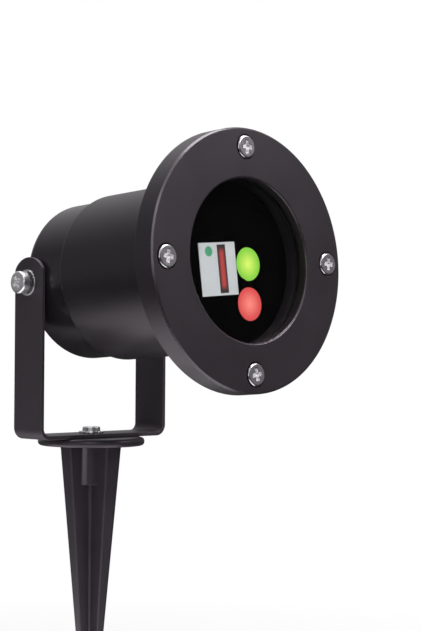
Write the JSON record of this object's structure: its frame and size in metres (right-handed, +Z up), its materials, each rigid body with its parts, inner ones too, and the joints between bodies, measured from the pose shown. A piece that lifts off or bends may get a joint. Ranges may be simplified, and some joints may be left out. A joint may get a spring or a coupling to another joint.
{
  "type": "laser show projector",
  "caption": "Outdoor laser light projector: a sealed round head with a wide screwed bezel and window, tilting in a bent strap yoke that turns on a ribbed ground stake.",
  "frame": {"origin": "centre of the stake collar's underside, which rests on the ground", "axes": "+Z up along the stake and the turning axis; the beams leave towards -Y; the tilt pivot lies along X"},
  "size_m": [0.108, 0.1252, 0.2708],
  "materials": {
    "black_coat": "fine matt black coating on die-cast aluminium",
    "black_steel": "matt black coating on bent steel strap",
    "bright_steel": "bright zinc plating",
    "dark_steel": "blackened steel",
    "stake_plastic": "moulded black plastic",
    "black_plastic": "matt black plastic",
    "rubber": "black rubber",
    "window_glass": "clear flat glass",
    "sticker_white": "white printed film",
    "green_optic": "green tinted optic",
    "red_optic": "red tinted optic",
    "module_brass": "turned brass",
    "block_aluminium": "milled aluminium",
    "board_green": "solder-masked board",
    "component_dark": "moulded components",
    "lead_red": "insulated lead",
    "nylon": "nylon washer"
  },
  "bodies": {
    "stake": {"stake": "stake_plastic", "stake_washer": "bright_steel", "stake_screw": "bright_steel"},
    "yoke": {"yoke": "black_steel"},
    "head": {"bezel": "black_coat", "bezel_screws": "bright_steel", "bezel_seal": "rubber", "front_glass": "window_glass", "glass_gasket": "rubber", "barrel": "black_coat", "aperture_plate": "black_plastic", "plate_screws": "dark_steel", "sticker": "sticker_white", "green_grating": "green_optic", "red_grating": "red_optic", "green_module": "module_brass", "red_module": "module_brass", "green_lens": "green_optic", "red_lens": "red_optic", "module_block": "block_aluminium", "module_set_screws": "dark_steel", "block_screws": "dark_steel", "driver_board": "board_green", "board_components": "component_dark", "board_posts": "module_brass", "board_screws": "bright_steel", "module_leads": "lead_red", "rear_cap": "black_coat", "cap_seal": "rubber", "gland_washer": "rubber", "gland_body": "black_plastic", "gland_nut": "black_plastic", "gland_seal": "rubber", "gland_locknut": "black_plastic", "pivot_pads": "nylon", "pivot_washers": "bright_steel", "pivot_spring_washers": "dark_steel", "pivot_bolts": "bright_steel"}
  },
  "joints": [
    {"name": "yoke_turn", "type": "hinge", "parent": "stake", "child": "yoke", "pos_m": [0, 0, 0.0053], "axis": [0, 0, 1], "continuous": true},
    {"name": "head_tilt", "type": "hinge", "parent": "yoke", "child": "head", "pos_m": [0, 0, 0.0707], "axis": [-1, 0, 0], "range_deg": [-36, 86]}
  ]
}
